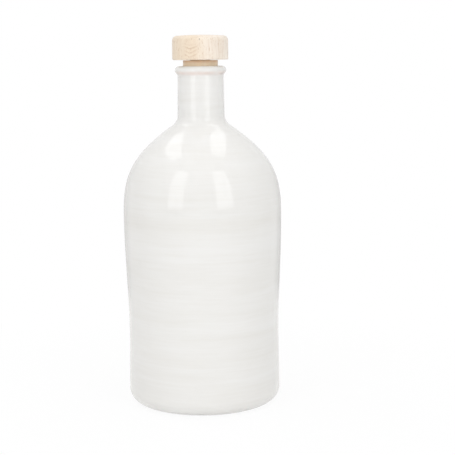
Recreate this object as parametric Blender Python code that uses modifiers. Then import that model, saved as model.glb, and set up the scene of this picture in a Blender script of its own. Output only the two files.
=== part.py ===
"""Stoneware oil bottle with a turned beech stopper.

The bottle is one hollow fired body: foot ring, faintly waisted side, round shoulder, drawn-in neck and
rounded lip. The stopper is a beech head glued on the tenon of a beech shank. Two silicone rings in grooves
of the shank seal the bore and hold the stopper where it is put.

Lengths are in metres. The origin is the middle of the foot ring, on the table, and +Z is up.
"""

import math

import bpy

# Side of the bottle, outside
BASE_RADIUS = 0.0533
WAIST_RADIUS = 0.05275
BELLY_RADIUS = 0.0550
HEEL_ROUND = 0.0092
WAIST_HEIGHT = 0.0498
WAIST_TO_BELLY = 0.0822

# Shoulder and neck, outside
BELLY_TO_NECK = 0.0689
SHOULDER_SLOPE = 34.8  # degrees above level where the shoulder meets the neck's fillet
SHOULDER_FULLNESS = 0.384  # how upright the shoulder starts, as a share of its rise
CONE_FULLNESS = 0.959  # how straight the shoulder ends, as a share of its draw-in
NECK_RADIUS = 0.0163
NECK_FILLET = 0.0082
NECK_DRAFT = 0.0004  # how much narrower the neck is under the lip
NECK_LENGTH = 0.0336  # from the neck's fillet to the top of the lip

# Lip
LIP_RADIUS = 0.0177
LIP_BEAD = 0.0029
LIP_FILLET = 0.0022

# Walls, bore and foot
BORE_RADIUS = 0.01245
SIDE_WALL = 0.0045
FLOOR_THICKNESS = 0.0045
FLOOR_ROUND = 0.0060
FOOT_WIDTH = 0.0060
FOOT_RECESS = 0.0020
RECESS_SLOPE = 0.0020

# Stopper head
HEAD_RADIUS = 0.0193
HEAD_HEIGHT = 0.0171
HEAD_CROWN = 0.0006  # how much the middle of the top stands above its rim
HEAD_TOP_ROUND = 0.0034
HEAD_LOWER_ROUND = 0.0010
HEAD_STAND = 0.0041  # space left between the lip and the head

# Stopper shank and its tenon
SHANK_REACH = 0.0285  # depth of the shank below the top of the lip
SHANK_CLEARANCE = 0.00045
SHANK_TIP_ROUND = 0.0015
TENON_RADIUS = 0.0070
TENON_LENGTH = 0.0090
TENON_CHAMFER = 0.0008
GLUE_GAP = 0.0003

# Sealing rings, squeezed oval between groove and bore
RING_THICKNESS = 0.0019
RING_HEIGHT = 0.0027
RING_CLEARANCE = 0.0002
GROOVE_CLEARANCE = 0.0002
UPPER_RING_DEPTH = 0.0085
LOWER_RING_DEPTH = 0.0205

# Fineness of the meshes: counts of steps, and the turn of one step of an arc in degrees
SEGMENTS = 48
ARC_STEP = 18.0
LOWER_SIDE_STEPS = 3
UPPER_SIDE_STEPS = 6
SHOULDER_STEPS = 12
CROWN_STEPS = 3
RING_POINTS = 12
SHARP_ANGLE = 35.0
MERGE_DISTANCE = 0.00001

# Sizes that follow from those above
BELLY_HEIGHT = WAIST_HEIGHT + WAIST_TO_BELLY
NECK_HEIGHT = BELLY_HEIGHT + BELLY_TO_NECK
LIP_HEIGHT = NECK_HEIGHT + NECK_LENGTH
LIP_CREST_RADIUS = LIP_RADIUS - LIP_BEAD
FLOOR_HEIGHT = FOOT_RECESS + FLOOR_THICKNESS
NECK_WALL = NECK_RADIUS - BORE_RADIUS
SHANK_RADIUS = BORE_RADIUS - SHANK_CLEARANCE
SHANK_LENGTH = HEAD_STAND + SHANK_REACH - GLUE_GAP
RING_OUTER_RADIUS = BORE_RADIUS - RING_CLEARANCE
RING_MIDDLE_RADIUS = RING_OUTER_RADIUS - RING_THICKNESS / 2
GROOVE_RADIUS = RING_OUTER_RADIUS - RING_THICKNESS - GROOVE_CLEARANCE
GROOVE_HALF_HEIGHT = RING_HEIGHT / 2 + GROOVE_CLEARANCE
SOCKET_RADIUS = TENON_RADIUS + GLUE_GAP
SOCKET_DEPTH = TENON_LENGTH + GLUE_GAP

# Finishes: name, colour and roughness
STONEWARE = ("glazed_stoneware", (0.84, 0.83, 0.81), 0.12)
BEECH = ("beech", (0.84, 0.70, 0.53), 0.55)
SILICONE = ("silicone", (0.78, 0.78, 0.76), 0.40)


def arc(centre, size, start, end):
    """Points of a circle in the section plane, between two angles in degrees."""
    steps = max(2, math.ceil(abs(end - start) / ARC_STEP))
    points = []
    for step in range(steps + 1):
        angle = math.radians(start + (end - start) * step / steps)
        points.append((centre[0] + size * math.cos(angle), centre[1] + size * math.sin(angle)))
    return points


def eased(lower, upper, steps):
    """Points of a side that is upright at both of its ends."""
    points = []
    for step in range(steps + 1):
        share = step / steps
        blend = 0.5 - 0.5 * math.cos(math.pi * share)
        radius = lower[0] + (upper[0] - lower[0]) * blend
        height = lower[1] + (upper[1] - lower[1]) * share
        points.append((radius, height))
    return points


def side(wall, foot_height):
    """Points of the side from the foot's rounding up past the waist to the belly, set in by a wall."""
    base = (BASE_RADIUS - wall, foot_height)
    waist = (WAIST_RADIUS - wall, WAIST_HEIGHT)
    belly = (BELLY_RADIUS - wall, BELLY_HEIGHT)
    return eased(base, waist, LOWER_SIDE_STEPS) + eased(waist, belly, UPPER_SIDE_STEPS)[1:]


def shoulder(wall_at_belly, wall_at_neck):
    """Points of the shoulder from the belly to the neck's fillet, set in by a wall that changes evenly."""
    slope = math.radians(SHOULDER_SLOPE)
    inward = (math.cos(slope), -math.sin(slope))
    end_radius = NECK_RADIUS + NECK_FILLET * (1 - math.sin(slope))
    end_height = NECK_HEIGHT - NECK_FILLET * math.cos(slope)
    start_handle = SHOULDER_FULLNESS * BELLY_TO_NECK
    end_handle = CONE_FULLNESS * (BELLY_RADIUS - NECK_RADIUS)
    controls = [
        (BELLY_RADIUS, BELLY_HEIGHT),
        (BELLY_RADIUS, BELLY_HEIGHT + start_handle),
        (end_radius + end_handle * inward[0], end_height + end_handle * inward[1]),
        (end_radius, end_height),
    ]
    points = []
    for step in range(SHOULDER_STEPS + 1):
        share = step / SHOULDER_STEPS
        rest = 1 - share
        weights = (rest**3, 3 * rest**2 * share, 3 * rest * share**2, share**3)
        slants = (-3 * rest**2, 3 * rest**2 - 6 * rest * share, 6 * rest * share - 3 * share**2, 3 * share**2)
        radius = sum(weight * control[0] for weight, control in zip(weights, controls))
        height = sum(weight * control[1] for weight, control in zip(weights, controls))
        run = sum(slant * control[0] for slant, control in zip(slants, controls))
        rise = sum(slant * control[1] for slant, control in zip(slants, controls))
        wall = wall_at_belly + (wall_at_neck - wall_at_belly) * share
        reach = wall / math.hypot(run, rise)
        points.append((radius - rise * reach, height + run * reach))
    return points


def bottle_section():
    """The clay's section, from the middle of the floor up the inside, over the lip and down the outside."""
    fillet_middle = (NECK_RADIUS + NECK_FILLET, NECK_HEIGHT)
    fillet_start = 270 - SHOULDER_SLOPE
    inner_fillet = NECK_FILLET + NECK_WALL
    inner_floor = (BASE_RADIUS - SIDE_WALL - FLOOR_ROUND, FLOOR_HEIGHT + FLOOR_ROUND)

    inside = [(0.0, FLOOR_HEIGHT)]
    inside += arc(inner_floor, FLOOR_ROUND, -90, 0)
    inside += side(SIDE_WALL, inner_floor[1])[1:]
    inside += shoulder(SIDE_WALL, NECK_WALL)[1:]
    inside += arc(fillet_middle, inner_fillet, fillet_start, 180)[1:]

    crest_to_bore = LIP_CREST_RADIUS - BORE_RADIUS
    inside += arc((LIP_CREST_RADIUS, LIP_HEIGHT - crest_to_bore), crest_to_bore, 180, 90)

    lip_neck_radius = NECK_RADIUS - NECK_DRAFT
    bead_to_fillet = LIP_BEAD + LIP_FILLET
    turn = math.acos((lip_neck_radius + LIP_FILLET - LIP_CREST_RADIUS) / bead_to_fillet)
    bead_middle = (LIP_CREST_RADIUS, LIP_HEIGHT - LIP_BEAD)
    under_lip = (lip_neck_radius + LIP_FILLET, bead_middle[1] - bead_to_fillet * math.sin(turn))

    outside = arc((BASE_RADIUS - HEEL_ROUND, HEEL_ROUND), HEEL_ROUND, -90, 0)
    outside += side(0.0, HEEL_ROUND)[1:]
    outside += shoulder(0.0, 0.0)[1:]
    outside += arc(fillet_middle, NECK_FILLET, fillet_start, 180)[1:]
    outside += arc(under_lip, LIP_FILLET, 180, 180 - math.degrees(turn))
    outside += arc(bead_middle, LIP_BEAD, -math.degrees(turn), 90)[1:-1]
    outside.reverse()

    foot_inner_radius = BASE_RADIUS - HEEL_ROUND - FOOT_WIDTH
    foot = [
        (foot_inner_radius, 0.0),
        (foot_inner_radius - RECESS_SLOPE, FOOT_RECESS),
        (0.0, FOOT_RECESS),
    ]
    return inside + outside + foot


def head_section():
    """The head's section from the middle of its crowned top to its socket; its underside is at height 0."""
    rim_radius = HEAD_RADIUS - HEAD_TOP_ROUND
    rim_height = HEAD_HEIGHT - HEAD_CROWN
    rim_slope = math.degrees(math.atan(2 * HEAD_CROWN / rim_radius))
    section = []
    for step in range(CROWN_STEPS):
        share = step / CROWN_STEPS
        section.append((rim_radius * share, HEAD_HEIGHT - HEAD_CROWN * share**2))
    section += arc((rim_radius, rim_height - HEAD_TOP_ROUND), HEAD_TOP_ROUND, 90 - rim_slope, 0)
    section += arc((HEAD_RADIUS - HEAD_LOWER_ROUND, HEAD_LOWER_ROUND), HEAD_LOWER_ROUND, 0, -90)
    section += [(SOCKET_RADIUS, 0.0), (SOCKET_RADIUS, SOCKET_DEPTH), (0.0, SOCKET_DEPTH)]
    return section


def shank_section(ring_heights):
    """The shank's section from the top of its tenon down; its shoulder is at height 0."""
    section = [
        (0.0, TENON_LENGTH),
        (TENON_RADIUS - TENON_CHAMFER, TENON_LENGTH),
        (TENON_RADIUS, TENON_LENGTH - TENON_CHAMFER),
        (TENON_RADIUS, 0.0),
        (SHANK_RADIUS, 0.0),
    ]
    for height in ring_heights:
        top = height + GROOVE_HALF_HEIGHT
        bottom = height - GROOVE_HALF_HEIGHT
        section += [(SHANK_RADIUS, top), (GROOVE_RADIUS, top)]
        section += [(GROOVE_RADIUS, bottom), (SHANK_RADIUS, bottom)]
    tip = (SHANK_RADIUS - SHANK_TIP_ROUND, SHANK_TIP_ROUND - SHANK_LENGTH)
    section += arc(tip, SHANK_TIP_ROUND, 0, -90)
    section.append((0.0, -SHANK_LENGTH))
    return section


def ring_section():
    """The oval section of a squeezed ring, round its own middle height."""
    section = []
    for point in range(RING_POINTS):
        angle = math.tau * (0.25 - point / RING_POINTS)
        radius = RING_MIDDLE_RADIUS + RING_THICKNESS / 2 * math.cos(angle)
        section.append((radius, RING_HEIGHT / 2 * math.sin(angle)))
    return section


def finish(name, stuff):
    """A material of the object's own."""
    kind, colour, roughness = stuff
    material = bpy.data.materials.new(f"{name}_{kind}")
    material.use_nodes = True
    shader = material.node_tree.nodes["Principled BSDF"]
    shader.inputs["Base Color"].default_value = (*colour, 1.0)
    shader.inputs["Roughness"].default_value = roughness
    return material


def turned(name, section, stuff, collection, closed=False):
    """A solid of revolution round its own Z axis from a section that runs down its outer side."""
    edges = [(index, index + 1) for index in range(len(section) - 1)]
    if closed:
        edges.append((len(section) - 1, 0))
    outline = bpy.data.meshes.new(f"{name}_section")
    outline.from_pydata([(radius, 0.0, height) for radius, height in section], edges, [])
    piece = bpy.data.objects.new(name, outline)
    collection.objects.link(piece)

    screw = piece.modifiers.new("turn", "SCREW")
    screw.axis = "Z"
    screw.angle = math.tau
    screw.steps = SEGMENTS
    screw.render_steps = SEGMENTS
    screw.use_merge_vertices = True
    screw.merge_threshold = MERGE_DISTANCE

    graph = bpy.context.evaluated_depsgraph_get()
    solid = bpy.data.meshes.new_from_object(piece.evaluated_get(graph))
    solid.name = name
    piece.modifiers.clear()
    piece.data = solid
    bpy.data.meshes.remove(outline)
    solid.shade_smooth()
    solid.set_sharp_from_angle(angle=math.radians(SHARP_ANGLE))
    solid.materials.append(finish(name, stuff))
    return piece


def main():
    for old in list(bpy.data.objects):
        bpy.data.objects.remove(old)
    collection = bpy.data.collections.new("oil_bottle")
    bpy.context.scene.collection.children.link(collection)

    turned("bottle_body", bottle_section(), STONEWARE, collection)

    # The stopper slides and turns on the bore's axis, from a reference at the top of the lip
    stopper_axis = bpy.data.objects.new("stopper_axis", None)
    stopper_axis.location.z = LIP_HEIGHT
    collection.objects.link(stopper_axis)

    shank_seat = HEAD_STAND - GLUE_GAP
    ring_depths = {"seal_ring_upper": UPPER_RING_DEPTH, "seal_ring_lower": LOWER_RING_DEPTH}
    ring_heights = [-depth - shank_seat for depth in ring_depths.values()]

    head = turned("stopper_head", head_section(), BEECH, collection)
    head.parent = stopper_axis
    head.location.z = HEAD_STAND

    shank = turned("stopper_shank", shank_section(ring_heights), BEECH, collection)
    shank.parent = stopper_axis
    shank.location.z = shank_seat

    for name, depth in ring_depths.items():
        ring = turned(name, ring_section(), SILICONE, collection, closed=True)
        ring.parent = stopper_axis
        ring.location.z = -depth


main()
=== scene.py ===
import math

import bpy
import numpy as np
from mathutils import Matrix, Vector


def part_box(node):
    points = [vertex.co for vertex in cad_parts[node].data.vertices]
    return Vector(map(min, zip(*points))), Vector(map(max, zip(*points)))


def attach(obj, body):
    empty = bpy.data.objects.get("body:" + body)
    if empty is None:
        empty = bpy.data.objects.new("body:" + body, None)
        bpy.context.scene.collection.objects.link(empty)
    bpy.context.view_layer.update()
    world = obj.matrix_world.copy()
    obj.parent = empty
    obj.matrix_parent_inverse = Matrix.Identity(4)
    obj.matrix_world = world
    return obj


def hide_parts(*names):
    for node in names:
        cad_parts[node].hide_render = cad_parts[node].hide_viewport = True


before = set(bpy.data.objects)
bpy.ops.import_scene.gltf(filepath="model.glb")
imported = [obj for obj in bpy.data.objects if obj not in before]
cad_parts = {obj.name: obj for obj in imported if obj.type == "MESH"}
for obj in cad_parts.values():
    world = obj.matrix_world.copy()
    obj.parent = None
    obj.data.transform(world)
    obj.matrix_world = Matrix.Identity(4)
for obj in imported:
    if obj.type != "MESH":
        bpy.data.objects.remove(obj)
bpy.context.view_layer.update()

# Meshes turned from the solids' own half sections
SECTION_REACH = 2e-6
CORNER_ANGLE = 30.0
STRAIGHT_RATIO = 1.8
TURN_STEP = 5.0
OUTER_SPACING = 0.0008
PLAIN_SPACING = 0.003
BOTTLE_COLUMNS = 240
STOPPER_COLUMNS = 160
RING_COLUMNS = 120
RING_ROWS = 40

# Brushed glaze: strokes laid round the bottle while it turned, in metres and radians
GLAZE_SEED = 11
STROKE_COUNT = 150
STROKE_NARROW = 0.0007
STROKE_WIDER = 0.0035
STROKE_REACH = (0.9, 4.6)
STROKE_CLIMB = 0.0012
STROKE_STRENGTH = 0.17
STROKE_START = 0.12
STROKE_END = 0.5
STROKE_RELIEF = 0.00005
PLAIN_THICKNESS = 0.5
GLAZE_LINE = 0.0004
FOOT_FADE = 0.012
LIP_FADE = (0.0002, 0.009)

# Strokes that show on the front: height, half width, first angle, reach, climb and strength
FRONT_STROKES = (
    (0.1300, 0.0058, -3.1, 6.2, 0.0000, -0.42),
    (0.1140, 0.0060, -3.1, 6.2, 0.0000, 0.42),
    (0.1046, 0.0009, -1.2, 2.3, -0.0006, -0.30),
    (0.0800, 0.0016, 0.2, 1.6, -0.0030, 0.36),
    (0.0850, 0.0018, 0.3, 1.5, -0.0030, -0.30),
    (0.0660, 0.0022, -1.9, 1.9, 0.0004, -0.42),
    (0.0590, 0.0030, -2.4, 4.0, 0.0000, 0.30),
    (0.0540, 0.0012, -0.4, 2.2, 0.0004, -0.30),
    (0.0400, 0.0050, -2.0, 4.4, 0.0003, -0.18),
    (0.0267, 0.0016, -1.6, 3.2, 0.0000, -0.22),
    (0.2124, 0.0014, -1.6, 3.0, 0.0000, -0.18),
    (0.2078, 0.0022, -3.1, 6.2, 0.0000, 0.34),
    (0.2030, 0.0060, -3.1, 6.2, 0.0000, 0.30),
)

# Glaze: colours where it is thick and where it is thin, the painted shade in the crease under the lip, and
# noise scales per metre
GLAZE_THICK = (0.853, 0.843, 0.821)
GLAZE_THIN = (0.804, 0.787, 0.750)
GLAZE_STREAK_SCALE = (36.0, 36.0, 620.0)
GLAZE_CLOUD_SCALE = (22.0, 22.0, 60.0)
GLAZE_RIPPLE_SCALE = (260.0, 260.0, 520.0)
THIN_BY_STROKES = (0.62, -0.12)
THIN_BY_STREAKS = (-0.22, 0.3)
THIN_BY_CLOUDS = (-0.12, 0.16)
STREAK_NOISE = (0.25, 0.75)
GLAZE_ROUGHNESS = (0.03, 0.06)
GLAZE_IOR = 1.5
GLAZE_RIPPLE = 0.000006
CREASE_DROP = 0.0048
CREASE_WIDTH = 0.0022
CREASE_SHADE_SHOW = 0.4
CREASE_PAINTED_SHADE = (0.88, 0.68, 0.595)
CREASE_PATCH_SCALE = (130.0, 130.0, 300.0)
CREASE_PATCHES = (0.6, 1.4)

# Bare clay under the foot
CLAY_LIGHT = (0.72, 0.65, 0.55)
CLAY_DARK = (0.60, 0.52, 0.42)
CLAY_SPECK = (0.30, 0.22, 0.16)
CLAY_GRAIN_SCALE = (900.0, 900.0, 900.0)
CLAY_SPECK_SCALE = (1500.0, 1500.0, 1500.0)
CLAY_SPECK_NOISE = (0.68, 0.74)
CLAY_SPECK_SHOW = 0.7
CLAY_ROUGHNESS = (0.72, 0.9)
CLAY_RELIEF = 0.00012

# Beech: early and late wood of the head and of the shank, and their growth rings
HEAD_LIGHT = (0.895, 0.765, 0.61)
HEAD_DARK = (0.64, 0.45, 0.29)
HEAD_PITH = (0.012, 0.038, 0.24)
HEAD_LEAN = (0.05, -0.04, 0.0)
# The shank's colours are painted light: paler than beech, to make up for the head's shadow
SHANK_PAINTED_LIGHT_PALE = (0.98, 0.82, 0.62)
SHANK_PAINTED_LIGHT_DEEP = (0.95, 0.72, 0.48)
SHANK_PITH = (-0.03, 0.02, 0.22)
SHANK_LEAN = (0.03, 0.05, 0.0)
# Sapwood on the head's right side, made paler as painted light where the right panel shines brighter
SAP_AND_PAINTED_LIGHT = (0.955, 0.868, 0.765)
SAP_AND_PAINTED_LIGHT_EDGE = (-0.007, 0.009)
RING_WIDTH = 0.0014
RING_WANDER = 0.0011
RING_STRENGTH = (0.15, 0.75)
RING_WANDER_SCALE = (90.0, 90.0, 28.0)
RING_TONE = 0.4
EARLY_WOOD_END = 0.4
EARLY_WOOD_TONE = 0.1
LATE_WOOD_AT = 0.84
FIBRE_SCALE = (1700.0, 1700.0, 45.0)
FIBRE_TONE = (-0.06, 0.14)
BROAD_SCALE = (150.0, 150.0, 26.0)
BROAD_TONE = (-0.06, 0.16)
FLECK_SCALE = (2100.0, 2100.0, 520.0)
FLECK_NOISE = (0.6, 0.72)
FLECK_TONE = 0.5
PORE_DEPTH = 0.6
WOOD_ROUGHNESS = (0.28, 0.44)
WOOD_RELIEF = 0.00003
WOOD_SHEEN = 0.1

# Flame figure and dark knot on the front of the head, with heights from its lower face
FLAME_ANGLE = -22.7
FLAME_MIDDLE = 0.0011
FLAME_INNER = 0.0028
FLAME_WIDTH = 0.0054
FLAME_BLUNT = 0.0009
FLAME_SLOPE = 0.51
FLAME_SKEW = -0.09
FLAME_BASE = -0.00024
FLAME_SPACING = 0.0026
FLAME_TOP = 0.0111
FLAME_TOP_FADE = 0.003
FLAME_FAINT_LOW = 0.0009
FLAME_FAINT_HIGH = 0.0054
FLAME_FAINTEST = 0.62
FLAME_WOBBLE = 0.0004
FLAME_WOBBLE_SCALE = (300.0, 300.0, 300.0)
FLAME_STRENGTH = (1.0, 1.5)
FLAME_FRONT = (0.01, 0.014)
KNOT_ANGLE = -1.5
KNOT_HEIGHT = 0.0139
KNOT_STRETCH = (1.0, 1.0, 0.5)
KNOT_SIZE = (0.0001, 0.0006)
KNOT_SHOW = 0.6
KNOT_COLOUR = (0.30, 0.21, 0.13)

# Shank: plain beech down in the bottle, and painted light above the lip that makes up for the head's
# shadow; it changes from and to a depth below the lip
PAINTED_LIGHT_FROM = 0.005
PAINTED_LIGHT_TO = 0.0008
BEECH_BELOW_LIP_LIGHT = (0.885, 0.74, 0.56)
BEECH_BELOW_LIP_DARK = (0.69, 0.50, 0.33)

# Painted shade: the shank darker and warmer close under the head, where the head's shadow falls
PAINTED_SHADE_ABOVE_LIP = 0.0014
PAINTED_SHADE_BELOW_HEAD = 0.0002
PAINTED_SHADE_MOST = 0.62
PAINTED_SHADE_PATCHES = (0.8, 1.1)
PAINTED_SHADE_COLOUR = (0.62, 0.28, 0.085)

# Silicone
SILICONE_LIGHT = (0.80, 0.80, 0.78)
SILICONE_DARK = (0.70, 0.70, 0.68)
SILICONE_BLOOM_SCALE = (240.0, 240.0, 700.0)
SILICONE_ROUGHNESS = (0.3, 0.46)
SILICONE_DEPTH = 0.002
SILICONE_SHARE = 0.35
SILICONE_RELIEF = 0.00003

# Where most of a noise lies, and nearly all of it
NOISE_LOW = 0.3
NOISE_HIGH = 0.7
NOISE_RANGE = (0.2, 0.8)

# Plain colours and places for shader trees
WHITE = (1.0, 1.0, 1.0, 1.0)
BLACK = (0.0, 0.0, 0.0, 1.0)
CENTRE = (0.0, 0.0, 0.0)

# Studio: lengths in metres, azimuths in degrees from the camera's side
WORLD_EVEN = 0.2
WORLD_FRONT = 0.1
WORLD_TOP = 0.745
FLOOR_SIDE = 8.0
FLOOR_TINT = (0.97, 0.97, 0.97)
FLOOR_GRAIN = (0.95, 0.95, 0.95)
FLOOR_GRAIN_SCALE = (300.0, 300.0, 300.0)
FLOOR_WHITE = 0.92
SHADOW_NEAR = 0.06
SHADOW_FAR = 0.3
PANEL_COLOUR = (0.992, 1.0, 1.008)
LEFT_STRENGTH = 2.45
LEFT_AZIMUTH = -38.7
LEFT_HALF_ANGLE = 12.25
RIGHT_STRENGTH = 2.55
RIGHT_AZIMUTH = 32.2
RIGHT_HALF_ANGLE = 12.6
PANEL_DISTANCE = 1.35
PANEL_FOOT = 0.06
PANEL_TOP = 1.76
PANEL_FADE = 0.04
PANEL_FOOT_FADE = 0.15
OVER_STRENGTH = 2.51
OVER_HEIGHT = 1.5
OVER_LEFT = (
    (-0.56, -0.22),
    (-0.89, -0.13),
    (-1.04, 0.33),
    (-1.03, 0.72),
    (-0.86, 0.88),
    (-0.75, 0.89),
    (-0.50, 0.57),
)
OVER_RIGHT = (
    (0.66, -0.15),
    (0.50, -0.27),
    (0.25, -0.24),
    (0.235, 0.25),
    (0.60, 0.79),
    (0.67, 0.75),
)
CARD_AZIMUTH = 146.0
CARD_DISTANCE = 0.3
CARD_WIDTH = 0.27
CARD_HEIGHT = 0.3
CARD_SIDE_FADE = 0.07
CARD_TOP_FADE = 0.22
CARD_FOOT_FADE = 0.03
CARD_GREY = 0.5
CARD_LEFT = 0.5
CARD_RIGHT = 0.68

# Camera: place in metres, angles in degrees, focal length in pixels of the 455 pixel picture
PICTURE_SIDE = 455
FOCAL_PIXELS = 1208.0
SENSOR_WIDTH = 36.0
CAMERA_PLACE = (0.0, -0.8384, 0.2414)
CAMERA_YAW = 1.184
CAMERA_PITCH = 8.107
CAMERA_ROLL = 0.66
CLIP_NEAR = 0.05
CLIP_FAR = 50.0


def smooth(value, low, high):
    """A soft step from 0 at low to 1 at high."""
    share = np.clip((value - low) / (high - low), 0, 1)
    return share * share * (3 - 2 * share)


def section_of(node):
    """The half section of a turned solid: radius and height from its higher end round to its lower end."""
    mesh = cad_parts[node].data
    places = {}
    for vertex in mesh.vertices:
        if abs(vertex.co.y) < SECTION_REACH and vertex.co.x > -SECTION_REACH:
            places[vertex.index] = (round(vertex.co.x, 6), round(vertex.co.z, 6))
    joined = {place: set() for place in places.values()}
    for edge in mesh.edges:
        start, end = [places.get(index) for index in edge.vertices]
        if start is None or end is None or start == end:
            continue
        joined[start].add(end)
        joined[end].add(start)
    ends = [place for place in joined if len(joined[place]) == 1]
    chain = [max(ends, key=lambda place: place[1])]
    while joined[chain[-1]] - set(chain):
        chain.append((joined[chain[-1]] - set(chain)).pop())
    if chain[0][0] > SECTION_REACH:
        chain.insert(0, (0.0, chain[0][1]))
    if chain[-1][0] > SECTION_REACH:
        chain.append((0.0, chain[-1][1]))
    return np.array(chain)


def tangent(before, after):
    """The direction of a smooth curve at the point between two steps of a section."""
    long_before, long_after = np.hypot(*before), np.hypot(*after)
    if long_before > STRAIGHT_RATIO * long_after:
        return before / long_before
    if long_after > STRAIGHT_RATIO * long_before:
        return after / long_after
    mean = before / long_before * long_after + after / long_after * long_before
    return mean / np.hypot(*mean)


def turn(first, second):
    """The angle between two directions, in degrees."""
    cosine = np.dot(first, second) / (np.hypot(*first) * np.hypot(*second))
    return math.degrees(math.acos(max(-1.0, min(1.0, cosine))))


def refined(section, spacing):
    """The section as smooth curves between its corners. Spacing gives the longest step at a point."""
    steps = np.diff(section, axis=0)
    points = [section[0]]
    for index, step in enumerate(steps):
        length = np.hypot(*step)
        leave = arrive = step / length
        if index > 0 and turn(steps[index - 1], step) < CORNER_ANGLE:
            leave = tangent(steps[index - 1], step)
        if index < len(steps) - 1 and turn(step, steps[index + 1]) < CORNER_ANGLE:
            arrive = tangent(step, steps[index + 1])
        longest = spacing(section[index])
        count = max(math.ceil(length / longest), math.ceil(turn(leave, arrive) / TURN_STEP), 1)
        for share in np.arange(1, count + 1) / count:
            start_part = 1 - 3 * share ** 2 + 2 * share ** 3
            leave_part = share - 2 * share ** 2 + share ** 3
            arrive_part = share ** 3 - share ** 2
            place = section[index] * start_part + section[index + 1] * (1 - start_part)
            points.append(place + length * (leave * leave_part + arrive * arrive_part))
    return np.array(points)


def outward(rows):
    """Unit normals of a section whose solid lies on the right of its direction."""
    along = np.gradient(rows, axis=0)
    along /= np.hypot(along[:, 0], along[:, 1])[:, None]
    return np.stack([-along[:, 1], along[:, 0]], axis=1)


def solid(name, places, faces, material):
    """A new object with smooth shading and sharp corners."""
    mesh = bpy.data.meshes.new(name)
    mesh.from_pydata(places.tolist(), [], faces)
    mesh.validate()
    mesh.shade_smooth()
    mesh.set_sharp_from_angle(angle=math.radians(CORNER_ANGLE))
    mesh.materials.append(material)
    piece = bpy.data.objects.new(name, mesh)
    bpy.context.scene.collection.objects.link(piece)
    return piece


def spun(name, rows, columns, material, inset=None, closed=False):
    """A section turned round +Z, with angles from -Y towards +X. Inset moves points inward."""
    angles = np.arange(columns) / columns * math.tau
    radius = np.repeat(rows[:, :1], columns, axis=1)
    height = np.repeat(rows[:, 1:], columns, axis=1)
    if inset is not None:
        normals = outward(rows)
        radius = radius - inset * normals[:, :1]
        height = height - inset * normals[:, 1:]
    grid = np.stack([radius * np.sin(angles), -radius * np.cos(angles), height], axis=2)
    count = len(rows)
    faces = []
    for row in range(count if closed else count - 1):
        below = (row + 1) % count
        for column in range(columns):
            beside = (column + 1) % columns
            face = [(row, column), (below, column), (below, beside), (row, beside)]
            if not closed and row == 0:
                face = [(0, 0), (1, column), (1, beside)]
            if not closed and row == count - 2:
                face = [(row, column), (count - 1, 0), (row, beside)]
            faces.append([point[0] * columns + point[1] for point in face])
    places = grid.reshape(-1, 3)
    if not closed:
        used = np.r_[0, columns:(count - 1) * columns + 1]
        numbers = np.zeros(count * columns, int)
        numbers[used] = np.arange(len(used))
        faces = [[int(numbers[point]) for point in face] for face in faces]
        places = places[used]
    return solid(name, places, faces, material)


def put(tree, kind, inputs=None, **settings):
    """Adds a shader node. Inputs maps sockets to plain values or to the outputs that feed them."""
    made = tree.nodes.new("ShaderNode" + kind)
    for name, value in settings.items():
        setattr(made, name, value)
    for socket, value in (inputs or {}).items():
        if isinstance(value, bpy.types.NodeSocket):
            tree.links.new(value, made.inputs[socket])
        else:
            made.inputs[socket].default_value = value
    return made


def math_node(tree, operation, first, second=0.0, third=0.0):
    """The output of a Math node."""
    return put(tree, "Math", {0: first, 1: second, 2: third}, operation=operation).outputs[0]


def vector_node(tree, operation, first, second, output=0):
    """An output of a Vector Math node."""
    return put(tree, "VectorMath", {0: first, 1: second}, operation=operation).outputs[output]


def spread(tree, value, low, high, to_low, to_high, kind="LINEAR"):
    """The output of a Map Range node."""
    inputs = {"Value": value, "From Min": low, "From Max": high, "To Min": to_low, "To Max": to_high}
    return put(tree, "MapRange", inputs, interpolation_type=kind).outputs["Result"]


def ranged(tree, value, to_low, to_high):
    """A noise spread between two values."""
    return spread(tree, value, NOISE_LOW, NOISE_HIGH, to_low, to_high)


def length_of(tree, vector):
    """The length of a vector."""
    return vector_node(tree, "LENGTH", vector, CENTRE, "Value")


def noise(tree, place, stretch, detail, roughness=0.5):
    """Noise at a scale for each axis, per metre."""
    stretched = vector_node(tree, "MULTIPLY", place, stretch)
    inputs = {"Vector": stretched, "Scale": 1.0, "Detail": detail, "Roughness": roughness}
    return put(tree, "TexNoise", inputs).outputs["Fac"]


def blended(tree, share, first, second):
    """A colour between two colours."""
    made = tree.nodes.new("ShaderNodeMix")
    made.data_type = "RGBA"
    for socket, value in ((0, share), (6, first), (7, second)):
        if isinstance(value, bpy.types.NodeSocket):
            tree.links.new(value, made.inputs[socket])
        elif socket == 0:
            made.inputs[0].default_value = value
        else:
            made.inputs[socket].default_value = (*value, 1.0)
    return made.outputs[2]


def material_base(name):
    """A material with an empty tree, its shader, and the place on the surface in metres."""
    material = bpy.data.materials.new(name)
    material.use_nodes = True
    tree = material.node_tree
    tree.nodes.clear()
    shader = put(tree, "BsdfPrincipled")
    out = put(tree, "OutputMaterial")
    tree.links.new(shader.outputs[0], out.inputs["Surface"])
    place = put(tree, "TexCoord").outputs["Object"]
    return material, tree, shader, place


def bumped(tree, shader, height, distance):
    """Small relief on the shader's normal."""
    bump = put(tree, "Bump", {"Height": height, "Strength": 1.0, "Distance": distance})
    tree.links.new(bump.outputs[0], shader.inputs["Normal"])


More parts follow.
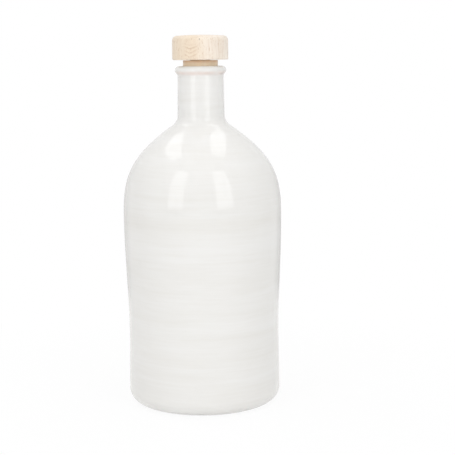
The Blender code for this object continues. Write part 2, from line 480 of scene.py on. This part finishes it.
def glaze_material(crease):
    """Glossy off-white glaze that shows the warmer clay a little where it is thin, and painted shade in
    the crease under the lip.
    """
    material, tree, shader, place = material_base("brushed_glaze")
    thickness = put(tree, "Attribute", attribute_name="glaze_thickness").outputs["Fac"]
    streaks = noise(tree, place, GLAZE_STREAK_SCALE, detail=4.0, roughness=0.62)
    clouds = noise(tree, place, GLAZE_CLOUD_SCALE, detail=3.0)
    thin = spread(tree, thickness, 0.0, 1.0, *THIN_BY_STROKES)
    thin = math_node(tree, "ADD", thin, spread(tree, streaks, *STREAK_NOISE, *THIN_BY_STREAKS))
    thin = math_node(tree, "ADD", thin, ranged(tree, clouds, *THIN_BY_CLOUDS))
    colour = put(tree, "ValToRGB", {"Fac": thin})
    stops = colour.color_ramp.elements
    stops[0].color = (*GLAZE_THICK, 1.0)
    stops[1].color = (*GLAZE_THIN, 1.0)
    height = put(tree, "SeparateXYZ", {0: place}).outputs["Z"]
    # Painted shade: a warm, clay-coloured dark line in the crease under the lip
    from_crease = math_node(tree, "ABSOLUTE", math_node(tree, "SUBTRACT", height, crease))
    crease_shade = spread(tree, from_crease, 0.0, CREASE_WIDTH, CREASE_SHADE_SHOW, 0.0, "SMOOTHSTEP")
    patches = noise(tree, place, CREASE_PATCH_SCALE, detail=2.0)
    crease_shade = math_node(tree, "MULTIPLY", crease_shade, ranged(tree, patches, *CREASE_PATCHES))
    colour = blended(tree, crease_shade, colour.outputs["Color"], CREASE_PAINTED_SHADE)
    tree.links.new(colour, shader.inputs["Base Color"])
    tree.links.new(ranged(tree, streaks, *GLAZE_ROUGHNESS), shader.inputs["Roughness"])
    shader.inputs["IOR"].default_value = GLAZE_IOR
    ripple = noise(tree, place, GLAZE_RIPPLE_SCALE, detail=2.0)
    bumped(tree, shader, ripple, GLAZE_RIPPLE)
    return material


def clay_material():
    """Bare buff stoneware under the foot."""
    material, tree, shader, place = material_base("bare_clay")
    grain = noise(tree, place, CLAY_GRAIN_SCALE, detail=5.0, roughness=0.65)
    specks = noise(tree, place, CLAY_SPECK_SCALE, detail=2.0)
    body = blended(tree, ranged(tree, grain, 0.0, 1.0), CLAY_LIGHT, CLAY_DARK)
    speck = spread(tree, specks, *CLAY_SPECK_NOISE, 0.0, CLAY_SPECK_SHOW)
    colour = blended(tree, speck, body, CLAY_SPECK)
    tree.links.new(colour, shader.inputs["Base Color"])
    tree.links.new(ranged(tree, grain, *CLAY_ROUGHNESS), shader.inputs["Roughness"])
    bumped(tree, shader, grain, CLAY_RELIEF)
    return material


def late_wood(tree, rings, weakest, strongest):
    """Darker lines at the end of each growth ring, with a strength of its own for each ring."""
    line = put(tree, "ValToRGB", {"Fac": math_node(tree, "FRACT", rings)})
    stops = line.color_ramp.elements
    stops[0].color = BLACK
    stops[1].color = BLACK
    early = stops.new(EARLY_WOOD_END)
    early.color = (EARLY_WOOD_TONE, EARLY_WOOD_TONE, EARLY_WOOD_TONE, 1.0)
    late = stops.new(LATE_WOOD_AT)
    late.color = WHITE
    which = put(tree, "TexWhiteNoise", {"W": math_node(tree, "FLOOR", rings)}, noise_dimensions="1D")
    strength = spread(tree, which.outputs["Value"], 0.0, 1.0, weakest, strongest)
    return math_node(tree, "MULTIPLY", line.outputs["Color"], strength)


def flame_figure(tree, place, height, foot):
    """Nested V lines where the saw cut the rings on the slant, and the window that they show in."""
    angle = math.radians(FLAME_ANGLE)
    across = (math.cos(angle), math.sin(angle), 0.0)
    facing = (math.sin(angle), -math.cos(angle), 0.0)
    beside = vector_node(tree, "DOT_PRODUCT", place, across, "Value")
    front = vector_node(tree, "DOT_PRODUCT", place, facing, "Value")
    base = foot + FLAME_BASE
    top = foot + FLAME_TOP
    wobble = noise(tree, place, FLAME_WOBBLE_SCALE, detail=2.0)
    wobble = spread(tree, wobble, *NOISE_RANGE, -FLAME_WOBBLE - base, FLAME_WOBBLE - base)
    arm = math_node(tree, "MULTIPLY", beside, beside)
    arm = math_node(tree, "SQRT", math_node(tree, "ADD", arm, FLAME_BLUNT ** 2))
    rise = math_node(tree, "MULTIPLY_ADD", arm, -FLAME_SLOPE, height)
    rise = math_node(tree, "MULTIPLY_ADD", beside, -FLAME_SKEW, rise)
    rise = math_node(tree, "ADD", rise, wobble)
    figure = late_wood(tree, math_node(tree, "DIVIDE", rise, FLAME_SPACING), *FLAME_STRENGTH)
    from_middle = math_node(tree, "ABSOLUTE", math_node(tree, "SUBTRACT", beside, FLAME_MIDDLE))
    window = spread(tree, from_middle, FLAME_INNER, FLAME_WIDTH, 1.0, 0.0, "SMOOTHSTEP")
    below_top = spread(tree, height, top - FLAME_TOP_FADE, top, 1.0, 0.0)
    window = math_node(tree, "MULTIPLY", window, below_top)
    faint = spread(tree, height, foot + FLAME_FAINT_LOW, foot + FLAME_FAINT_HIGH, FLAME_FAINTEST, 1.0)
    window = math_node(tree, "MULTIPLY", window, faint)
    window = math_node(tree, "MULTIPLY", window, spread(tree, front, *FLAME_FRONT, 0.0, 1.0))
    return figure, window


def knotted(tree, place, colour, knot):
    """The colour with a small dark knot at a place."""
    gap = vector_node(tree, "SUBTRACT", place, knot)
    gap = vector_node(tree, "MULTIPLY", gap, KNOT_STRETCH)
    spot = spread(tree, length_of(tree, gap), *KNOT_SIZE, KNOT_SHOW, 0.0, "SMOOTHSTEP")
    return blended(tree, spot, colour, KNOT_COLOUR)


def wood_material(name, light, dark, pith, lean, figured=None, painted_shade=None, painted_light_band=None):
    """Pale beech with its grain along the stopper. Figured wood has a flame above its foot, and a knot."""
    material, tree, shader, place = material_base(name)
    wander = noise(tree, place, RING_WANDER_SCALE, detail=2.0)
    shift = spread(tree, wander, *NOISE_RANGE, -RING_WANDER, RING_WANDER)
    inputs = {"Vector": place, "Location": pith, "Rotation": lean}
    mapped = put(tree, "Mapping", inputs, vector_type="TEXTURE").outputs[0]
    flat = vector_node(tree, "MULTIPLY", mapped, (1.0, 1.0, 0.0))
    distance = math_node(tree, "ADD", length_of(tree, flat), shift)
    lines = late_wood(tree, math_node(tree, "DIVIDE", distance, RING_WIDTH), *RING_STRENGTH)
    height = put(tree, "SeparateXYZ", {0: place}).outputs["Z"]
    if figured:
        foot, knot = figured
        figure, window = flame_figure(tree, place, height, foot)
        lines = put(tree, "Mix", {0: window, 2: lines, 3: figure}).outputs[0]
    fibres = noise(tree, place, FIBRE_SCALE, detail=3.0, roughness=0.6)
    broad = noise(tree, place, BROAD_SCALE, detail=2.0)
    flecks = noise(tree, place, FLECK_SCALE, detail=1.0)
    fleck = spread(tree, flecks, *FLECK_NOISE, 0.0, FLECK_TONE, "SMOOTHSTEP")
    tone = math_node(tree, "MULTIPLY", lines, RING_TONE)
    tone = math_node(tree, "ADD", tone, ranged(tree, fibres, *FIBRE_TONE))
    tone = math_node(tree, "ADD", tone, ranged(tree, broad, *BROAD_TONE))
    tone = put(tree, "Clamp", {"Value": math_node(tree, "ADD", tone, fleck)}).outputs[0]
    # Paler sapwood on the head's right side, partly the wood's own colour and partly painted light
    if figured:
        side = vector_node(tree, "DOT_PRODUCT", place, (1.0, 0.0, 0.0), "Value")
        side = math_node(tree, "ADD", side, shift)
        outer = spread(tree, side, *SAP_AND_PAINTED_LIGHT_EDGE, 0.0, 1.0, "SMOOTHSTEP")
        light = blended(tree, outer, light, SAP_AND_PAINTED_LIGHT)
    # Painted light: the shank is paler above the lip and plain beech below it
    if painted_light_band:
        painted_light_share = spread(tree, height, *painted_light_band, 0.0, 1.0, "SMOOTHSTEP")
        light = blended(tree, painted_light_share, BEECH_BELOW_LIP_LIGHT, light)
        dark = blended(tree, painted_light_share, BEECH_BELOW_LIP_DARK, dark)
    colour = blended(tree, tone, light, dark)
    if figured:
        colour = knotted(tree, place, colour, knot)
    # Painted shade: the shank darkens towards the head above it
    if painted_shade:
        painted_shade_share = spread(tree, height, *painted_shade, 0.0, PAINTED_SHADE_MOST, "SMOOTHSTEP")
        painted_shade_share = math_node(tree, "MULTIPLY", painted_shade_share, ranged(tree, broad, *PAINTED_SHADE_PATCHES))
        colour = blended(tree, painted_shade_share, colour, PAINTED_SHADE_COLOUR)
    tree.links.new(colour, shader.inputs["Base Color"])
    tree.links.new(ranged(tree, fibres, *WOOD_ROUGHNESS), shader.inputs["Roughness"])
    pores = math_node(tree, "ADD", fibres, math_node(tree, "MULTIPLY", fleck, -PORE_DEPTH))
    bumped(tree, shader, pores, WOOD_RELIEF)
    shader.inputs["Sheen Weight"].default_value = WOOD_SHEEN
    return material


def silicone_material():
    """Milky silicone with a faint bloom."""
    material, tree, shader, place = material_base("milky_silicone")
    bloom = noise(tree, place, SILICONE_BLOOM_SCALE, detail=4.0)
    colour = blended(tree, ranged(tree, bloom, 0.0, 1.0), SILICONE_LIGHT, SILICONE_DARK)
    tree.links.new(colour, shader.inputs["Base Color"])
    tree.links.new(ranged(tree, bloom, *SILICONE_ROUGHNESS), shader.inputs["Roughness"])
    shader.inputs["Subsurface Weight"].default_value = SILICONE_SHARE
    shader.inputs["Subsurface Scale"].default_value = SILICONE_DEPTH
    bumped(tree, shader, bloom, SILICONE_RELIEF)
    return material


def strokes(along, place_at, angles):
    """Glaze thickness left by the brush, about 0 to 1, for each row and column of the outside."""
    chance = np.random.default_rng(GLAZE_SEED)
    laid = []
    for _ in range(STROKE_COUNT):
        middle = chance.uniform(along[0], along[-1])
        width = STROKE_NARROW + STROKE_WIDER * chance.uniform() ** 2
        start = chance.uniform(0, math.tau)
        reach = chance.uniform(*STROKE_REACH)
        climb = chance.normal(0, STROKE_CLIMB)
        strength = chance.normal(0, STROKE_STRENGTH)
        laid.append((middle, width, start, reach, climb, strength))
    for height, *rest in FRONT_STROKES:
        laid.append((place_at(height), *rest))
    total = np.full((len(along), len(angles)), PLAIN_THICKNESS)
    for middle, width, start, reach, climb, strength in laid:
        past = (angles - start) % math.tau
        body = smooth(past, 0, STROKE_START) * (1 - smooth(past, reach - STROKE_END, reach))
        off = along[:, None] - middle - climb * past[None, :]
        total += strength * body[None, :] * np.exp(-((off / width) ** 2))
    return np.clip(total, 0, 1)


def glazed_bottle(glaze, clay):
    """The bottle with brushed glaze in low relief, and a bare foot."""
    section = section_of("bottle_body")
    lip_top = section[:, 1].max()

    def spacing(start):
        """The longest step from a point: fine outside, coarse inside."""
        inner = np.argmax(section[:, 1]) > np.flatnonzero((section == start).all(axis=1))[0]
        return PLAIN_SPACING if inner else OUTER_SPACING

    rows = refined(section, spacing)
    crown = int(np.argmax(rows[:, 1]))
    foot = crown + int(np.argmax(rows[crown:, 1] < GLAZE_LINE))
    outside = rows[crown:foot]
    steps = np.hypot(*np.diff(outside, axis=0).T)
    along = np.r_[0, np.cumsum(steps)]
    angles = np.arange(BOTTLE_COLUMNS) / BOTTLE_COLUMNS * math.tau

    def place_at(height):
        """The way along the outside at a height."""
        return float(np.interp(-height, -outside[:, 1], along))

    thickness = np.full((len(rows), BOTTLE_COLUMNS), PLAIN_THICKNESS)
    thickness[crown:foot] = strokes(along, place_at, angles)
    edge = smooth(rows[:, 1], GLAZE_LINE, FOOT_FADE) * smooth(lip_top - rows[:, 1], *LIP_FADE)
    edge[:crown] = 0
    edge[foot:] = 0
    inset = (1 - thickness) * STROKE_RELIEF * edge[:, None]
    piece = spun("glazed_bottle", rows, BOTTLE_COLUMNS, glaze, inset)
    used = thickness.reshape(-1)[np.r_[0, BOTTLE_COLUMNS:(len(rows) - 1) * BOTTLE_COLUMNS + 1]]
    layer = piece.data.attributes.new("glaze_thickness", "FLOAT", "POINT")
    layer.data.foreach_set("value", used.astype(np.float32))
    piece.data.materials.append(clay)
    for face in piece.data.polygons:
        face.material_index = int(face.index // BOTTLE_COLUMNS >= foot)
    return piece


def seal_ring(node, material):
    """A moulded ring of oval section."""
    low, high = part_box(node)
    radii = [math.hypot(vertex.co.x, vertex.co.y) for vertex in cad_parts[node].data.vertices]
    inner, outer = min(radii), max(radii)
    turns = np.arange(RING_ROWS) / RING_ROWS * math.tau
    radius = (outer + inner) / 2 + (outer - inner) / 2 * np.sin(turns)
    height = (high.z + low.z) / 2 + (high.z - low.z) / 2 * np.cos(turns)
    rows = np.stack([radius, height], axis=1)
    return spun("silicone_" + node, rows, RING_COLUMNS, material, closed=True)


def white_for_sight(tree):
    """1 for rays that show the background itself: seen, mirrored or through glass."""
    path = put(tree, "LightPath")
    seen = math_node(tree, "MAXIMUM", path.outputs["Is Camera Ray"], path.outputs["Is Glossy Ray"])
    return math_node(tree, "MAXIMUM", seen, path.outputs["Is Transmission Ray"])


def stage_material(name):
    """A material with an empty tree for the stage, and the place on the surface in metres."""
    material = bpy.data.materials.new(name)
    material.use_nodes = True
    tree = material.node_tree
    tree.nodes.clear()
    return material, tree, put(tree, "TexCoord").outputs["Object"]


def shown(tree, shader):
    """The shader is what the material shows."""
    out = put(tree, "OutputMaterial")
    tree.links.new(shader.outputs[0], out.inputs["Surface"])


def sheet(name, outline, material):
    """A flat sheet of the stage."""
    places = np.array([(x, y, 0.0) for x, y in outline])
    piece = solid(name, places, [tuple(range(len(outline)))], material)
    return piece


def oblong(width, low, high):
    """The corners of a rectangle that reaches from low to high."""
    return ((-width / 2, low), (width / 2, low), (width / 2, high), (-width / 2, high))


def stand_up(piece, azimuth, distance):
    """Sets a sheet upright, facing the object and unseen by the camera."""
    angle = math.radians(azimuth)
    piece.visible_camera = False
    piece.location = (distance * math.sin(angle), -distance * math.cos(angle), 0.0)
    piece.rotation_euler = (math.radians(90), 0.0, angle + math.pi)


def studio_floor():
    """A plain pale floor that keeps the shadow near the object and goes to white further out."""
    material, tree, place = stage_material("pale_floor")
    paper = noise(tree, place, FLOOR_GRAIN_SCALE, detail=3.0)
    tint = blended(tree, paper, FLOOR_TINT, FLOOR_GRAIN)
    diffuse = put(tree, "BsdfDiffuse", {"Color": tint})
    white = put(tree, "Emission", {"Color": WHITE, "Strength": 1.0})
    share = spread(tree, length_of(tree, place), SHADOW_NEAR, SHADOW_FAR, FLOOR_WHITE, 1.0, "SMOOTHSTEP")
    share = math_node(tree, "MULTIPLY", share, white_for_sight(tree))
    shown(tree, put(tree, "MixShader", {0: share, 1: diffuse.outputs[0], 2: white.outputs[0]}))
    sheet("studio_floor", oblong(FLOOR_SIDE, -FLOOR_SIDE / 2, FLOOR_SIDE / 2), material)


def studio_world():
    """Soft light from all round, most of it from above and in front, and white where it is seen."""
    world = bpy.data.worlds.new("soft_studio")
    world.use_nodes = True
    tree = world.node_tree
    tree.nodes.clear()
    way = put(tree, "SeparateXYZ", {0: put(tree, "TexCoord").outputs["Generated"]})
    front = math_node(tree, "MAXIMUM", math_node(tree, "MULTIPLY", way.outputs["Y"], -1.0), 0.0)
    above = math_node(tree, "MAXIMUM", way.outputs["Z"], 0.0)
    level = math_node(tree, "MULTIPLY_ADD", front, WORLD_FRONT, WORLD_EVEN)
    level = math_node(tree, "MULTIPLY_ADD", above, WORLD_TOP, level)
    even = put(tree, "Background", {"Color": WHITE, "Strength": level})
    white = put(tree, "Background", {"Color": WHITE, "Strength": 1.0})
    mixed = put(tree, "MixShader", {0: white_for_sight(tree), 1: even.outputs[0], 2: white.outputs[0]})
    out = put(tree, "OutputWorld")
    tree.links.new(mixed.outputs[0], out.inputs["Surface"])
    bpy.context.scene.world = world


def glowing(tree, level):
    """Faintly cool light from the front of a sheet."""
    behind = put(tree, "NewGeometry").outputs["Backfacing"]
    level = math_node(tree, "MULTIPLY", math_node(tree, "SUBTRACT", 1.0, behind), level)
    shown(tree, put(tree, "Emission", {"Color": (*PANEL_COLOUR, 1.0), "Strength": level}))


def standing_panel(name, azimuth, half_angle, strength):
    """A tall upright light panel with soft edges."""
    material, tree, place = stage_material(name)
    half_width = PANEL_DISTANCE * math.tan(math.radians(half_angle)) + PANEL_FADE / 2
    side = put(tree, "SeparateXYZ", {0: place})
    away = math_node(tree, "ABSOLUTE", side.outputs["X"])
    level = spread(tree, away, half_width - PANEL_FADE, half_width, strength, 0.0, "SMOOTHSTEP")
    up = side.outputs["Y"]
    top = spread(tree, up, PANEL_TOP - PANEL_FADE, PANEL_TOP, 1.0, 0.0, "SMOOTHSTEP")
    foot = spread(tree, up, PANEL_FOOT, PANEL_FOOT + PANEL_FOOT_FADE, 0.0, 1.0, "SMOOTHSTEP")
    glowing(tree, math_node(tree, "MULTIPLY", level, math_node(tree, "MULTIPLY", top, foot)))
    piece = sheet(name, oblong(2 * half_width, PANEL_FOOT, PANEL_TOP), material)
    stand_up(piece, azimuth, PANEL_DISTANCE)


def over_panel(name, outline):
    """A light panel that hangs level over the object and shines down."""
    material, tree = stage_material(name)[:2]
    glowing(tree, OVER_STRENGTH)
    piece = sheet(name, outline, material)
    piece.visible_camera = False
    piece.location = (0.0, 0.0, OVER_HEIGHT)


def side_card(name, azimuth, density):
    """A standing grey scrim behind the object's side that gives a pale edge its outline."""
    material, tree, place = stage_material(name)
    side = put(tree, "SeparateXYZ", {0: place})
    away = math_node(tree, "ABSOLUTE", side.outputs["X"])
    up = side.outputs["Y"]
    half_width = CARD_WIDTH / 2
    share = spread(tree, away, half_width - CARD_SIDE_FADE, half_width, 1.0, 0.0, "SMOOTHSTEP")
    top = spread(tree, up, CARD_HEIGHT - CARD_TOP_FADE, CARD_HEIGHT, density, 0.0, "SMOOTHSTEP")
    foot = spread(tree, up, 0.0, CARD_FOOT_FADE, 0.0, 1.0, "SMOOTHSTEP")
    share = math_node(tree, "MULTIPLY", share, math_node(tree, "MULTIPLY", top, foot))
    card = put(tree, "BsdfDiffuse", {"Color": (CARD_GREY, CARD_GREY, CARD_GREY, 1.0)})
    clear = put(tree, "BsdfTransparent")
    shown(tree, put(tree, "MixShader", {0: share, 1: clear.outputs[0], 2: card.outputs[0]}))
    piece = sheet(name, oblong(CARD_WIDTH, 0.0, CARD_HEIGHT), material)
    stand_up(piece, azimuth, CARD_DISTANCE)


def studio_camera():
    """The camera at the photograph's viewing angle."""
    data = bpy.data.cameras.new("camera")
    data.sensor_fit = "HORIZONTAL"
    data.sensor_width = SENSOR_WIDTH
    data.lens = SENSOR_WIDTH * FOCAL_PIXELS / PICTURE_SIDE
    data.clip_start = CLIP_NEAR
    data.clip_end = CLIP_FAR
    camera = bpy.data.objects.new("camera", data)
    bpy.context.scene.collection.objects.link(camera)
    turned = Matrix.Rotation(math.radians(-CAMERA_YAW), 4, "Z")
    turned = turned @ Matrix.Rotation(math.radians(90 - CAMERA_PITCH), 4, "X")
    turned = turned @ Matrix.Rotation(math.radians(-CAMERA_ROLL), 4, "Z")
    camera.matrix_world = Matrix.Translation(CAMERA_PLACE) @ turned
    bpy.context.scene.camera = camera


def fit(piece, body, node):
    """The piece rides on a body in place of a solid, which it hides."""
    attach(piece, body)
    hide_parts(node)


def turned_piece(name, node, material):
    """A piece of the stopper, turned from the section of its solid."""
    rows = refined(section_of(node), lambda start: PLAIN_SPACING)
    return spun(name, rows, STOPPER_COLUMNS, material)


# The pieces
lip_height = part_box("bottle_body")[1].z
glaze = glaze_material(lip_height - CREASE_DROP)
fit(glazed_bottle(glaze, clay_material()), "bottle", "bottle_body")

head_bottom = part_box("stopper_head")[0].z
head_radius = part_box("stopper_head")[1].x
knot_angle = math.radians(KNOT_ANGLE)
knot_height = head_bottom + KNOT_HEIGHT
knot = (head_radius * math.sin(knot_angle), -head_radius * math.cos(knot_angle), knot_height)
figured = (head_bottom, knot)
head_wood = wood_material("beech_head", HEAD_LIGHT, HEAD_DARK, HEAD_PITH, HEAD_LEAN, figured)
fit(turned_piece("turned_head", "stopper_head", head_wood), "stopper", "stopper_head")
# Painted shade on the shank under the head
painted_shade = (lip_height + PAINTED_SHADE_ABOVE_LIP, head_bottom - PAINTED_SHADE_BELOW_HEAD)
# Painted light on the shank above the lip
painted_light_band = (lip_height - PAINTED_LIGHT_FROM, lip_height - PAINTED_LIGHT_TO)
shank_wood = wood_material(
    "beech_shank", SHANK_PAINTED_LIGHT_PALE, SHANK_PAINTED_LIGHT_DEEP, SHANK_PITH, SHANK_LEAN, painted_shade=painted_shade, painted_light_band=painted_light_band
)
fit(turned_piece("turned_shank", "stopper_shank", shank_wood), "stopper", "stopper_shank")
silicone = silicone_material()
for ring_node in ("seal_ring_upper", "seal_ring_lower"):
    fit(seal_ring(ring_node, silicone), "seals", ring_node)

# The studio
studio_floor()
studio_world()
standing_panel("panel_left", LEFT_AZIMUTH, LEFT_HALF_ANGLE, LEFT_STRENGTH)
standing_panel("panel_right", RIGHT_AZIMUTH, RIGHT_HALF_ANGLE, RIGHT_STRENGTH)
over_panel("panel_over_left", OVER_LEFT)
over_panel("panel_over_right", OVER_RIGHT)
side_card("card_left", -CARD_AZIMUTH, CARD_LEFT)
side_card("card_right", CARD_AZIMUTH, CARD_RIGHT)
studio_camera()
bpy.context.scene.view_settings.view_transform = "Standard"
